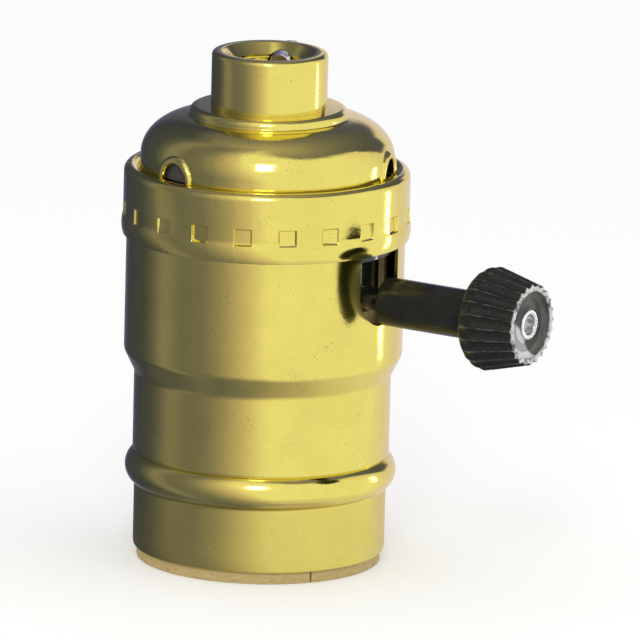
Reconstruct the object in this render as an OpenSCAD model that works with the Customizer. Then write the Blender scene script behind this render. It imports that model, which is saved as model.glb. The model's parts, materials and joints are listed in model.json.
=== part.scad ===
// Turn knob lamp socket: a brass cap and shell round a switch body with a side knob.
// The socket's axis is Z, its mouth faces down, and the knob points along +X.
// Z is 0 at the lower edge of the insulating sleeve, on which the socket stands.

/* [Cap] */
// Thickness of the cap's sheet brass
cap_sheet = 0.4; // [0.35:0.05:0.5]
// Height of the cap's lower edge above the sleeve's top
cap_rise = 1; // [0.5:0.1:2]
// Height of the skirt, from the lower edge to the middle of the shoulder bead
skirt_h = 8.1; // [7.8:0.1:10]
// Radius of the shoulder bead's section
shoulder_r = 1; // [0.8:0.05:1.3]
// How far the hem at the skirt's lower edge stands out
hem_out = 0.2; // [0.1:0.05:0.4]
// Height of the hem
hem_h = 2.6; // [1.6:0.1:3]
// How far inwards the dome's curve reaches
dome_round = 6.7; // [5:0.1:7]
// Height of the dome's curve
dome_rise = 5.3; // [4.5:0.1:6.5]
// Height of the dome, from the shoulder bead's middle to the flat top
dome_h = 7.65; // [7:0.05:10]
// Radius of the raised collar under the hub
collar_r = 10.3; // [9.5:0.1:10.8]
// Height of the collar
collar_h = 1.25; // [1:0.05:1.6]
// Radius of the collar's rounded edge
collar_round = 0.9; // [0.5:0.1:1]

/* [Cap openings] */
// Number of dimples that latch the cap on the shell
dimples = 20; // [8:1:24]
// Width of a dimple
dimple_w = 2.2; // [1.4:0.1:3]
// Height of a dimple
dimple_h = 2; // [1.4:0.1:2.4]
// Depth to which a dimple is pressed
dimple_depth = 0.25; // [0.1:0.05:0.3]
// Height of the dimples' middle above the cap's lower edge
dimple_rise = 3.4; // [3.2:0.1:4.5]
// Turn of the dimples from the knob's direction, in degrees
dimple_turn = 5.4; // [0:0.1:18]
// Number of arched windows at the foot of the dome
windows = 3; // [2:1:4]
// Width of a window
window_w = 4; // [3:0.1:5]
// Height of a window
window_h = 2.4; // [2.1:0.1:3]
// Width of the raised rim round a window
window_rim = 0.9; // [0.5:0.1:1.2]
// Turn of the windows from the knob's direction, in degrees
window_turn = 15.9; // [0:0.1:60]

/* [Hub] */
// Outer radius of the hub
hub_r = 7.55; // [7:0.05:8.5]
// Height of the hub above the collar
hub_h = 7.2; // [6.5:0.1:10]
// Crest radius of the lamp pipe's thread in the hub
pipe_r = 4.6; // [4.2:0.05:5]
// Depth of the bevel at the hub's mouth
mouth_bevel = 1.4; // [0.8:0.1:1.5]
// Radius of the hub's set screw
set_screw_r = 1.75; // [1.25:0.05:2]
// Direction of the set screw from the knob's direction, in degrees
set_screw_turn = 105; // [60:1:150]
// Depth of the set screw below the hub's top
set_screw_drop = 2.6; // [2.5:0.1:4]

/* [Shell] */
// Thickness of the shell's sheet brass
shell_sheet = 0.45; // [0.35:0.05:0.5]
// Height of the shell's lower edge, below which the sleeve shows
shell_z = 1.5; // [0.5:0.1:2.5]
// How far the shell reaches up inside the cap
shell_in_cap = 6.6; // [6.3:0.1:7.2]
// Depth of the step between the upper and the lower part of the shell
waist_step = 1.4; // [1:0.1:1.8]
// Height at which the taper starts
taper_z = 24.8; // [22:0.1:26]
// Height of the taper
taper_h = 2.8; // [2:0.1:4]
// How much the foot below the bead is drawn in from the waist
foot_step = 0.3; // [0.1:0.05:0.5]
// Height of the bead's middle
bead_z = 12.1; // [9:0.1:15]
// Height of the bead
bead_h = 4.3; // [3:0.1:5]
// How far the bead stands out from the waist
bead_out = 0.95; // [0.5:0.05:1.3]
// Width of the slot that the spindle leaves by
slot_w = 8.9; // [8:0.1:10]
// Depth of the slot's lowest point below the spindle's axis
slot_drop = 3.35; // [2.8:0.05:4]

/* [Sleeve] */
// Height of the insulating sleeve
sleeve_h = 42; // [38:0.5:48]
// Wall of the insulating sleeve
sleeve_wall = 0.8; // [0.6:0.05:1]
// Width of the notch for the spindle
notch_w = 10.4; // [9:0.1:12]
// Gap between the spindle and the notch's floor
notch_gap = 0.25; // [0.15:0.05:1]
// Width of the sleeve's butt joint
seam_w = 0.25; // [0.1:0.05:0.5]
// Direction of the butt joint from the knob's direction, in degrees
seam_turn = -31.6; // [-60:0.1:-25]

/* [Lamp thread] */
// Crest radius of the lamp thread
thread_r = 12.45; // [12.2:0.05:12.6]
// Depth of the rolled lamp thread
thread_depth = 0.75; // [0.5:0.05:0.8]
// Pitch of the lamp thread
thread_pitch = 3.63; // [3:0.01:4]
// Thickness of the screw shell's sheet
screw_sheet = 0.4; // [0.3:0.05:0.45]
// Height of the screw shell's mouth above the sleeve's lower edge
mouth_depth = 3; // [1.5:0.1:5]
// Radius of the hole in the screw shell's top
screw_hole_r = 7.4; // [7.2:0.1:7.6]

/* [Switch body] */
// Height of the moulded base
base_h = 17.6; // [17:0.1:18]
// How far the base stands out past the crest of the lamp thread
base_rim = 2.35; // [2.1:0.05:3]
// Height of the moulded cover
cover_h = 5; // [4.5:0.1:6]
// Length of the switch chamber ahead of the socket's axis
chamber_front = 9.5; // [8.8:0.1:10]
// Length of the switch chamber behind the socket's axis
chamber_back = 8; // [7.8:0.1:9]
// Width of the switch chamber
chamber_w = 13; // [12:0.1:13.4]
// Depth of the chamber's floor below the spindle's axis
chamber_drop = 5.7; // [5.5:0.1:6.2]

/* [Contacts] */
// Thickness of the terminal straps
strap_t = 0.8; // [0.6:0.05:0.9]
// Width of the terminal straps
strap_w = 6; // [4:0.1:7]
// How far the terminal tabs lie inside the base's edge
tab_in = 1.2; // [1:0.1:1.5]
// Height of the terminal screws above the cover's seat
terminal_rise = 3.2; // [3:0.1:3.6]
// Radius of a terminal screw's shank
terminal_screw_r = 1.6; // [1.2:0.05:1.8]
// Radius of a terminal screw's head
terminal_head_r = 2.8; // [2.2:0.1:2.9]
// Thickness of the spring leaves
leaf_t = 0.4; // [0.3:0.05:0.5]
// Width of the spring leaves
leaf_w = 4; // [3:0.1:4.5]
// Drop of the centre contact below the base
contact_drop = 2.9; // [2.4:0.1:3.6]

/* [Spindle and knob] */
// Depth of the spindle's axis below the sleeve's top
spindle_drop = 5.3; // [5.1:0.05:5.6]
// Radius of the spindle
spindle_r = 1.55; // [1.3:0.05:1.6]
// Radius to which the spindle's outer end is spread over the knob
flare_r = 1.95; // [1.75:0.05:2.1]
// Radius of the hole in the spindle's outer end
end_hole_r = 1; // [0.6:0.05:1.1]
// Running clearance round the spindle
running_gap = 0.07; // [0.05:0.01:0.1]
// Outer radius of the stem
stem_r = 3.175; // [2.8:0.025:3.3]
// Gap between the shell and the stem's inner end
stem_gap = 0.8; // [0.4:0.1:2]
// Distance of the knob's face from the socket's axis
knob_face = 41; // [38:0.1:46]
// Length of the knob
knob_len = 8; // [6:0.1:10]
// Largest radius of the knob, near its back
knob_back_r = 6.8; // [6.4:0.1:8]
// Radius of the knob at its face
knob_face_r = 5.3; // [5:0.1:6]
// Number of flutes round the knob
flutes = 24; // [12:1:30]
// Depth of a flute at the knob's back
flute_depth = 0.45; // [0.2:0.05:0.6]
// Radius of the dished recess in the knob's face
dish_r = 4.45; // [4:0.05:4.6]
// Depth of the dished recess
dish_depth = 1; // [0.5:0.1:1.5]
// Radius of the drum that carries the moving contact
drum_r = 4; // [3.8:0.05:4.1]

/* [Hidden] */
$fn = 96;

brass = "#d9c35a";
phenolic = "#1c1b1b";
card = "#c2a368";
bronze = "#b8863a";
steel = "#a8a8a8";

// Clearances: between formed sheets, round fasteners, and between parts that turn and parts that don't
slip_gap = 0.1;
seat_gap = 0.05;
turn_gap = 0.3;
base_gap = 0.25;
cover_gap = 0.45;
over = 1;
crease = 0.05;
arc_steps = 12;

// Radii that follow from the lamp thread, from the inside to the outside
base_r = thread_r + base_rim;
sleeve_r = base_r + base_gap + sleeve_wall;
foot_r = sleeve_r + slip_gap + shell_sheet;
waist_r = foot_r + foot_step;
shell_r = waist_r + waist_step;
cap_r = shell_r + slip_gap + cap_sheet;
neck_r = shell_r - 0.35;
cover_r = shell_r - shell_sheet - cover_gap;
dome_r = cap_r - 2 * shoulder_r - slip_gap;
tab_y = base_r - tab_in;

// Heights that follow from the sleeve
cap_z = sleeve_h + cap_rise;
spindle_z = sleeve_h - spindle_drop;
dome_z = cap_z + skirt_h + dome_h - dome_rise;
bead_mid_z = cap_z + skirt_h;
crown_z = bead_mid_z + dome_h;
hub_z = crown_z + collar_h;
hub_top = hub_z + hub_h;
dimple_z = cap_z + dimple_rise;
shell_top = cap_z + shell_in_cap;
base_z = sleeve_h - base_h;
floor_z = spindle_z - chamber_drop;
terminal_z = sleeve_h + terminal_rise;
screw_h = base_z - mouth_depth;
stem_x = shell_r + stem_gap;
knob_back = knob_face - knob_len;
flare_t = 0.3;
spindle_end = knob_face - 0.05;
flare_x = spindle_end - flare_t;

// Folds and fasteners inside
stake_r = 5.6;
stake_flange_r = 7.2;
liner_t = 0.5;
tab_top = terminal_z + 2.8;
leaf_y = drum_r + turn_gap + leaf_t;
cover_screw_r = 1.1;
cover_screw_l = 7.6;
cover_screw_y = chamber_w / 2 + cover_screw_r + 0.4;
cover_screw_at = [sqrt(pow(base_r - cover_screw_r - 0.6, 2) - pow(cover_screw_y, 2)), cover_screw_y];
shell_screw_r = 1.2;
shell_screw_x = (thread_r + screw_hole_r) / 2;
shell_screw_l = 5;
leg_y = thread_r - 2.6;
drum_front = 5.4;
drum_back = 7.2;
flats_l = 3.6;
strap_foot = 2.6;
rivet_r = 1.2;

// Points of an arc or a quarter oval from one angle to another, as radius and height
function arc(r, z, round, from, to, rise = 0) = [
    for (i = [0:arc_steps]) let (a = from + (to - from) * i / arc_steps)
        [r + round * cos(a), z + (rise > 0 ? rise : round) * sin(a)]
];
// Points of an arched swelling on a wall of radius r, seen from below upwards
function swell(r, z, height, out) =
    let (round = (height * height / 4 + out * out) / (2 * out), half = asin(height / 2 / round))
        arc(r + out - round, z, round, -half, half);
function backwards(list) = [for (i = [len(list) - 1:-1:0]) list[i]];
// The same line moved inwards by a wall
function inset(line, wall) = [for (p = line) [p.x - wall, p.y]];
// Outline of a bent strip of thickness t along a path
function normal_of(a, b) = let (d = (b - a) / norm(b - a)) [-d.y, d.x];
function strip_side(path, s) = [
    for (i = [0:len(path) - 1])
        let (last = len(path) - 1,
             before = normal_of(path[max(i - 1, 0)], path[max(i, 1)]),
             after = normal_of(path[min(i, last - 1)], path[min(i + 1, last)]),
             mitre = before + after)
            path[i] + s * 2 * mitre / (mitre * mitre)
];
function strip(path, t) = concat(strip_side(path, t / 2), backwards(strip_side(path, -t / 2)));

module on_spindle() {
    translate([0, 0, spindle_z]) rotate([0, 90, 0]) children();
}

module tube(r, hole, h) {
    difference() {
        cylinder(r = r, h = h);
        translate([0, 0, -over]) cylinder(r = hole, h = h + 2 * over);
    }
}

// A profile drawn in Y and Z, given a width along X
module along_x(width) {
    rotate([90, 0, 90]) linear_extrude(width, center = true) children();
}

// A profile drawn in X and Z, given a width along Y
module along_y(width) {
    rotate([90, 0, 0]) linear_extrude(width, center = true) children();
}

// Cap

// Outside of the dome from its foot to the hub's hole, lifted off the sheet by out
function dome_line(out) = concat(
    [[dome_r + out - crease, bead_mid_z + 2 * crease]],
    [for (p = arc(dome_r - dome_round, dome_z, dome_round + out, 0, 90, dome_rise + out))
        if (p.x > collar_r + 0.1) p]
);

module cap_section() {
    bead_in = cap_r - 2 * shoulder_r + cap_sheet;
    dome_in = dome_r - cap_sheet - crease;
    under = arc(dome_r - dome_round, dome_z, dome_round - cap_sheet, 90, 0, dome_rise - cap_sheet);
    polygon(concat(
        [[cap_r - cap_sheet, cap_z], [cap_r - cap_sheet / 2, cap_z]],
        swell(cap_r, cap_z + hem_h / 2, hem_h, hem_out),
        arc(cap_r - shoulder_r, bead_mid_z, shoulder_r, 0, 170),
        dome_line(0), [[collar_r, crown_z]],
        arc(collar_r - collar_round, hub_z - collar_round, collar_round, 0, 90),
        [[stake_r, hub_z], [stake_r, hub_z - cap_sheet], [collar_r - collar_round, hub_z - cap_sheet]],
        [[collar_r - cap_sheet, hub_z - collar_round], [collar_r - cap_sheet, crown_z - cap_sheet]],
        [for (p = under) if (p.x > collar_r) p],
        arc((bead_in + dome_in) / 2, bead_mid_z, (bead_in - dome_in) / 2, -180, 0),
        arc(cap_r - shoulder_r, bead_mid_z, shoulder_r - cap_sheet, 180, 0)
    ));
}

module window_shape(grow) {
    w = window_w + 2 * grow;
    top = window_h + grow;
    translate([-w / 2, -grow]) square([w, top + grow - w / 2]);
    intersection() {
        translate([0, top - w / 2]) circle(w / 2);
        translate([-w / 2, -grow]) square([w, top + grow]);
    }
}

module at_windows() {
    for (i = [0:windows - 1]) rotate(window_turn + i * 360 / windows)
        translate([0, 0, bead_mid_z + 0.8]) rotate([90, 0, 90]) linear_extrude(dome_r + 0.45) children();
}

module cap_shell() {
    rim_out = 0.25;
    color(brass) {
        difference() {
            rotate_extrude() cap_section();
            at_windows() window_shape(0);
            for (i = [0:dimples - 1]) rotate(dimple_turn + i * 360 / dimples)
                translate([cap_r - dimple_depth, -dimple_w / 2, dimple_z - dimple_h / 2])
                    cube([over, dimple_w, dimple_h]);
        }
        // Raised rims of the windows
        intersection() {
            rotate_extrude() polygon(concat(dome_line(rim_out), backwards(dome_line(-cap_sheet / 2))));
            at_windows() difference() {
                window_shape(window_rim);
                window_shape(0);
                translate([-cap_r, -cap_r]) square([2 * cap_r, cap_r]);
            }
        }
        // Backs of the dimples, which catch over the shell's rim
        for (i = [0:dimples - 1]) rotate(dimple_turn + i * 360 / dimples)
            intersection() {
                translate([0, -dimple_w / 2, dimple_z - dimple_h / 2]) cube([cap_r, dimple_w, dimple_h]);
                translate([0, 0, dimple_z - dimple_h]) tube(cap_r - cap_sheet / 2 - dimple_depth / 2,
                    cap_r - cap_sheet - dimple_depth, 2 * dimple_h);
            }
    }
}

module set_screw_place() {
    translate([0, 0, hub_top - set_screw_drop]) rotate(set_screw_turn) rotate([0, 90, 0]) children();
}

module cap_hub() {
    edge = 0.6;
    thick = hub_z - cap_sheet - seat_gap;
    color(brass) difference() {
        rotate_extrude() polygon(concat(
            [[pipe_r, thick - 0.6], [stake_flange_r, thick - 0.6], [stake_flange_r, thick]],
            [[stake_r - seat_gap, thick], [stake_r - seat_gap, hub_z], [hub_r, hub_z]],
            arc(hub_r - edge, hub_top - edge, edge, 0, 90),
            [[pipe_r + mouth_bevel, hub_top], [pipe_r, hub_top - mouth_bevel]]
        ));
        set_screw_place() cylinder(r = set_screw_r + seat_gap, h = hub_r + over);
    }
}

module hub_set_screw() {
    tip = pipe_r + seat_gap;
    head_r = set_screw_r + 0.55;
    head_at = hub_r + 0.3;
    color(steel) set_screw_place() difference() {
        union() {
            translate([0, 0, tip]) cylinder(r = set_screw_r, h = head_at - tip);
            translate([0, 0, head_at]) cylinder(r = head_r, h = 1.4);
            translate([0, 0, head_at + 1.4]) cylinder(r1 = head_r, r2 = head_r - 0.4, h = 0.4);
        }
        translate([-head_r - over, -0.3, head_at + 1]) cube([2 * head_r + 2 * over, 0.6, 2]);
    }
}

module cap_liner() {
    gap = cap_sheet + turn_gap;
    hole = stake_flange_r + 0.8;
    foot = 0.9;
    inner_gap = gap + liner_t;
    outer = arc(dome_r - dome_round, dome_z, dome_round - gap, 0, 90, dome_rise - gap);
    inner = arc(dome_r - dome_round, dome_z, dome_round - inner_gap, 90, 0, dome_rise - inner_gap);
    color(card) rotate_extrude() polygon(concat(
        [[dome_r - gap, bead_mid_z + foot]], [for (p = outer) if (p.x > hole) p], [[hole, crown_z - gap]],
        [[hole, crown_z - inner_gap]], [for (p = inner) if (p.x > hole) p],
        [[dome_r - inner_gap, bead_mid_z + foot]]
    ));
}

// Shell and sleeve

function shell_line() = concat(
    [[foot_r, shell_z + 0.6]],
    swell(foot_r, bead_z, bead_h, bead_out + foot_step),
    [[waist_r, bead_z + bead_h / 2 + 0.1], [waist_r, taper_z]],
    [[shell_r, taper_z + taper_h], [shell_r, dimple_z - dimple_h / 2 - 1.4]],
    [[neck_r, dimple_z - dimple_h / 2 - 0.6], [neck_r, dimple_z + dimple_h / 2 + 0.4]],
    [[shell_r - slip_gap, dimple_z + dimple_h / 2 + 1], [shell_r - slip_gap, shell_top]]
);

module outer_shell() {
    slot_r = slot_w / 2;
    slot_mid = spindle_z - slot_drop + slot_r;
    color(brass) difference() {
        rotate_extrude() polygon(concat(shell_line(), backwards(inset(shell_line(), shell_sheet)),
            [[foot_r - shell_sheet, shell_z], [foot_r - 0.2, shell_z]]));
        translate([0, 0, slot_mid]) rotate([0, 90, 0]) cylinder(r = slot_r, h = cap_r);
        translate([0, -slot_r, slot_mid]) cube([cap_r, slot_w, shell_top]);
    }
}

module insulating_sleeve() {
    corner = 1.5;
    notch_z = spindle_z - spindle_r - notch_gap;
    color(card) difference() {
        tube(sleeve_r, sleeve_r - sleeve_wall, sleeve_h);
        translate([0, -notch_w / 2, notch_z + corner]) cube([cap_r, notch_w, sleeve_h]);
        translate([0, -notch_w / 2 + corner, notch_z]) cube([cap_r, notch_w - 2 * corner, sleeve_h]);
        for (side = [-1, 1])
            translate([0, side * (notch_w / 2 - corner), notch_z + corner])
                rotate([0, 90, 0]) cylinder(r = corner, h = cap_r);
        rotate(seam_turn) translate([0, -seam_w / 2, -over]) cube([cap_r, seam_w, sleeve_h + 2 * over]);
    }
}

// Lamp contacts

// Inner radius of the rolled thread at height z above the screw shell's mouth, flattened at crest and root
function thread_wave(z) =
    thread_r + thread_depth / 2 + max(-0.5, min(0.5, 0.62 * cos(360 * z / thread_pitch))) * thread_depth;

module screw_shell() {
    bottom = base_z - screw_h;
    lip = thread_pitch / 2;
    steps = 10;
    top = screw_h - screw_sheet - 1;
    count = floor((top - lip) / thread_pitch * steps);
    inside = concat(
        [[thread_r + thread_depth + 0.3, bottom], [thread_r + thread_depth, bottom + 0.6]],
        [for (i = [steps / 2:count]) let (z = i * thread_pitch / steps) [thread_wave(z), bottom + z + 0.6]]
    );
    last = inside[len(inside) - 1];
    color(bronze) difference() {
        rotate_extrude() polygon(concat(
            inside, [[last.x, base_z - screw_sheet], [screw_hole_r, base_z - screw_sheet]],
            [[screw_hole_r, base_z], [last.x + screw_sheet, base_z]],
            backwards(inset(inside, -screw_sheet))
        ));
        for (side = [-1, 1]) translate([side * shell_screw_x, 0, bottom])
            cylinder(r = shell_screw_r + seat_gap, h = screw_h + over);
    }
}

module shell_screws() {
    head_r = 2.1;
    head_h = 1.2;
    color(steel) for (side = [-1, 1]) translate([side * shell_screw_x, 0, base_z]) difference() {
        union() {
            translate([0, 0, -screw_sheet]) cylinder(r = shell_screw_r, h = shell_screw_l + screw_sheet);
            translate([0, 0, -screw_sheet - head_h]) cylinder(r = head_r, h = head_h);
        }
        translate([-0.3, -head_r, -screw_sheet - head_h]) cube([0.6, 2 * head_r, 0.5]);
    }
}

module centre_contact() {
    half = leaf_t / 2;
    path = [
        [2.6, -half], [-4.4, -half], [-5.4, -0.4 - half], [-5.4, -1 - half],
        [-4.6, -1.5 - half], [0.2, half - contact_drop], [3, half - contact_drop], [4.4, 0.8 - contact_drop]
    ];
    color(bronze) translate([0, 0, base_z]) difference() {
        along_y(leaf_w) polygon(strip(path, leaf_t));
        translate([0, 0, -contact_drop / 2]) cylinder(r = rivet_r + seat_gap, h = contact_drop);
    }
}

module contact_rivet() {
    head_r = rivet_r + 0.5;
    leaf_foot = floor_z + strap_t;
    color(bronze) {
        translate([0, 0, base_z - leaf_t]) cylinder(r = rivet_r, h = leaf_foot - base_z + leaf_t);
        translate([0, 0, leaf_foot]) cylinder(r = head_r, h = 0.4);
        translate([0, 0, base_z - leaf_t - 0.4]) cylinder(r = head_r, h = 0.4);
    }
}

// Terminals and switch contacts

module terminal_tab(side) {
    color(brass) difference() {
        translate([-strap_w / 2, side * tab_y - strap_t / 2, sleeve_h])
            cube([strap_w, strap_t, tab_top - sleeve_h]);
        translate([0, side * tab_y, terminal_z]) rotate([90, 0, 0])
            cylinder(r = terminal_screw_r + seat_gap, h = 4 * strap_t, center = true);
    }
}

module terminal_screw(side) {
    head_h = 2;
    face = tab_y + strap_t / 2 + seat_gap;
    color(steel) translate([0, 0, terminal_z]) rotate([-90 * side, 0, 0]) difference() {
        union() {
            translate([0, 0, tab_y - strap_t / 2 - 0.6]) cylinder(r = terminal_screw_r, h = strap_t + 1);
            translate([0, 0, face]) cylinder(r = terminal_head_r, h = head_h - 0.4);
            translate([0, 0, face + head_h - 0.4])
                cylinder(r1 = terminal_head_r, r2 = terminal_head_r - 0.5, h = 0.4);
        }
        translate([-terminal_head_r - over, -0.35, face + 1.1])
            cube([2 * terminal_head_r + 2 * over, 0.7, head_h]);
    }
}

module line_terminal() {
    half = strap_t / 2;
    leaf = [[leaf_y - leaf_t / 2, spindle_z - 2.4], [leaf_y - leaf_t / 2, sleeve_h + strap_t]];
    color(brass) {
        terminal_tab(1);
        along_x(leaf_w) polygon(strip(leaf, leaf_t));
        translate([-leaf_w / 2, leaf_y - leaf_t, sleeve_h]) cube([leaf_w, tab_y - leaf_y + leaf_t, strap_t]);
    }
}

module line_screw() {
    terminal_screw(1);
}

// The neutral strap runs from its tab through the base to the screw shell
module neutral_terminal() {
    path = [[-tab_y, sleeve_h + strap_t / 2], [-leg_y, sleeve_h + strap_t / 2],
        [-leg_y, base_z + strap_t / 2], [-leg_y + strap_foot, base_z + strap_t / 2]];
    color(brass) {
        terminal_tab(-1);
        along_x(leaf_w) polygon(strip(path, strap_t));
    }
}

module neutral_screw() {
    terminal_screw(-1);
}

module lamp_contact() {
    path = [[-leaf_y + leaf_t / 2, spindle_z + 2.4], [-leaf_y + leaf_t / 2, floor_z + strap_t / 2]];
    color(bronze) difference() {
        union() {
            along_x(leaf_w) polygon(strip(path, leaf_t));
            translate([-leaf_w / 2, -leaf_y, floor_z]) cube([leaf_w, leaf_y + 2.4, strap_t]);
        }
        translate([0, 0, floor_z - over]) cylinder(r = rivet_r + seat_gap, h = strap_t + 2 * over);
    }
}

module detent_spring() {
    crown = spindle_z - drum_r - 0.1 - leaf_t / 2;
    foot = floor_z + leaf_t / 2;
    path = [[-chamber_w / 2 + 0.3, foot], [-chamber_w / 2 + 1.3, foot], [-1.8, crown],
        [1.8, crown], [chamber_w / 2 - 1.3, foot], [chamber_w / 2 - 0.3, foot]];
    color(steel) translate([flats_l / 2 - drum_back, 0, 0])
        along_x(flats_l * 0.6) polygon(strip(path, leaf_t));
}

// Switch body

module base_bores(r, from, to) {
    for (side = [-1, 1]) translate([side * cover_screw_at.x, side * cover_screw_at.y, from])
        cylinder(r = r, h = to - from);
}

module switch_base() {
    slack = seat_gap;
    bearing = spindle_r + running_gap;
    color(phenolic) difference() {
        translate([0, 0, base_z]) rotate_extrude() polygon([[0, 0], [base_r - 0.6, 0], [base_r, 0.6],
            [base_r, base_h], [0, base_h]]);
        translate([-chamber_back, -chamber_w / 2, floor_z])
            cube([chamber_back + chamber_front, chamber_w, base_h]);
        on_spindle() translate([0, 0, -chamber_back - 2.6]) cylinder(r = bearing, h = 2 * cap_r);
        base_bores(cover_screw_r + slack, sleeve_h - cover_screw_l - 0.4, sleeve_h + over);
        for (side = [-1, 1]) translate([side * shell_screw_x, 0, base_z - over])
            cylinder(r = shell_screw_r + slack, h = shell_screw_l + 0.2 + over);
        translate([0, 0, base_z - over]) cylinder(r = rivet_r + slack, h = base_h);
        // Way of the neutral strap down through the base, and the seat of its foot
        translate([-leaf_w / 2 - slack, -leg_y - strap_t / 2 - slack, base_z - over])
            cube([leaf_w + 2 * slack, strap_t + 2 * slack, base_h + 2 * over]);
        translate([-leaf_w / 2 - slack, -leg_y, base_z - over])
            cube([leaf_w + 2 * slack, strap_foot + slack, strap_t + slack + over]);
    }
}

module switch_cover() {
    slack = seat_gap;
    notch_y = tab_y - strap_t / 2 - 1.2;
    color(phenolic) difference() {
        translate([0, 0, sleeve_h]) rotate_extrude() polygon([[0, 0], [cover_r, 0],
            [cover_r, cover_h - 0.8], [cover_r - 0.8, cover_h], [0, cover_h]]);
        // Recesses for the terminal screws
        for (side = [-1, 1]) translate([-terminal_head_r - 0.8, side > 0 ? notch_y : -notch_y - cap_r,
            sleeve_h - over]) cube([2 * terminal_head_r + 1.6, cap_r, cover_h + 2 * over]);
        // Grooves for the terminal straps
        translate([-leaf_w / 2 - slack, -tab_y, sleeve_h - over])
            cube([leaf_w + 2 * slack, tab_y - leg_y + strap_t, strap_t + slack + over]);
        translate([-leaf_w / 2 - slack, leaf_y - leaf_t - slack, sleeve_h - over])
            cube([leaf_w + 2 * slack, tab_y - leaf_y + leaf_t, strap_t + slack + over]);
        base_bores(cover_screw_r + slack, sleeve_h - over, sleeve_h + cover_h + over);
    }
}

module cover_screws() {
    head_r = 2;
    color(steel) for (side = [-1, 1])
        translate([side * cover_screw_at.x, side * cover_screw_at.y, sleeve_h]) difference() {
            union() {
                translate([0, 0, -cover_screw_l]) cylinder(r = cover_screw_r, h = cover_h + cover_screw_l);
                translate([0, 0, cover_h]) cylinder(r1 = head_r, r2 = head_r - 0.5, h = 1.2);
            }
            translate([-head_r, -0.3, cover_h + 0.6]) cube([2 * head_r, 0.6, over]);
        }
}

// Turning parts

// Its outer end is hollow and spread over the knob's boss
module spindle() {
    clip_x = chamber_front - 0.9;
    back = -chamber_back - 2.4;
    hole_foot = spindle_end - 2.5;
    color(steel) on_spindle() difference() {
        rotate_extrude() polygon([
            [0, back], [spindle_r, back], [spindle_r, flare_x], [flare_r, flare_x],
            [flare_r, spindle_end - flare_t / 2], [flare_r - flare_t / 2, spindle_end],
            [end_hole_r, spindle_end], [end_hole_r, hole_foot], [0, hole_foot - end_hole_r / 2]
        ]);
        translate([0, 0, clip_x - 0.6]) tube(spindle_r + over, spindle_r - 0.35, 0.6);
    }
}

module stem() {
    bore = spindle_r + seat_gap;
    socket = 2.4;
    color(phenolic) on_spindle() rotate_extrude() polygon([
        [bore, stem_x], [stem_r - 0.3, stem_x], [stem_r, stem_x + 0.3],
        [stem_r, knob_back + socket], [bore, knob_back + socket]
    ]);
}

module knob_flute() {
    // A cone whose chord is nearly the flutes' pitch at both ends
    share = 0.47;
    back_chord = share * 2 * PI * knob_back_r / flutes;
    face_depth = flute_depth * knob_face_r / knob_back_r;
    face_chord = share * 2 * PI * knob_face_r / flutes;
    back = (back_chord * back_chord + flute_depth * flute_depth) / (2 * flute_depth);
    face = (face_chord * face_chord + face_depth * face_depth) / (2 * face_depth);
    back_at = knob_back_r - flute_depth + back;
    face_at = knob_face_r - face_depth + face;
    lean = atan((back_at - face_at) / (knob_len - 1.5));
    longer = 1.4;
    grow = (back - face) / (knob_len - 1.5);
    translate([back_at, 0, knob_back + 1.5]) rotate([0, -lean, 0]) translate([0, 0, -longer * 1.6])
        cylinder(r1 = back + grow * longer * 1.6, r2 = face - grow * longer,
            h = knob_len - 1.5 + 2.6 * longer);
}

module knob() {
    bore = spindle_r + seat_gap;
    socket = 2.4;
    boss_r = spindle_r + 0.6;
    round = 1.2;
    color(phenolic) on_spindle() difference() {
        rotate_extrude() polygon(concat(
            [[stem_r + seat_gap, knob_back]],
            arc(knob_back_r - round, knob_back + round, round, -90, 0),
            [[knob_back_r, knob_back + 1.5], [knob_face_r, knob_face - 0.2], [knob_face_r - 0.2, knob_face]],
            [[dish_r, knob_face], [dish_r - 0.25, knob_face - dish_depth * 0.7]],
            [[boss_r + 0.3, knob_face - dish_depth], [boss_r, knob_face - dish_depth * 0.8]],
            [[boss_r, flare_x], [bore, flare_x]],
            [[bore, knob_back + socket + seat_gap]],
            [[stem_r + seat_gap, knob_back + socket + seat_gap]]
        ));
        for (i = [0:flutes - 1]) rotate(i * 360 / flutes) knob_flute();
    }
}

// Drum with four flats at its back end, on which the detent spring clicks
module switch_rotor() {
    flat = drum_r - 0.3;
    groove = leaf_w + 0.4;
    color("#5b3a22") on_spindle() difference() {
        union() {
            translate([0, 0, flats_l - drum_back]) cylinder(r = drum_r, h = drum_front + drum_back - flats_l);
            intersection() {
                translate([0, 0, -drum_back]) cylinder(r = drum_r, h = flats_l);
                translate([-flat, -flat, -drum_back]) cube([2 * flat, 2 * flat, flats_l]);
            }
        }
        translate([0, 0, -groove / 2]) tube(drum_r + over, drum_r - 0.3, groove);
        translate([0, 0, -cap_r]) cylinder(r = spindle_r + seat_gap, h = 2 * cap_r);
    }
}

// Half band round the drum that joins the two leaves
module rotor_contact() {
    color(bronze) on_spindle() translate([0, 0, -leaf_w / 2]) difference() {
        tube(drum_r, drum_r - 0.3 + seat_gap, leaf_w);
        translate([-2 * drum_r - 1.2, -drum_r - over, -over])
            cube([2 * drum_r, 2 * drum_r + 2 * over, leaf_w + 2 * over]);
    }
}

module spindle_clip() {
    clip_x = chamber_front - 0.9;
    color(steel) on_spindle() translate([0, 0, clip_x - 0.55]) difference() {
        tube(spindle_r + 1.2, spindle_r - 0.35 + seat_gap, 0.5);
        translate([0, -spindle_r * 0.7, -over]) cube([spindle_r + 2, spindle_r * 1.4, 3]);
    }
}

module thrust_washer() {
    color(steel) on_spindle() translate([0, 0, chamber_front - 0.85])
        tube(spindle_r + 1.6, spindle_r + seat_gap, 0.6);
}

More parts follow.
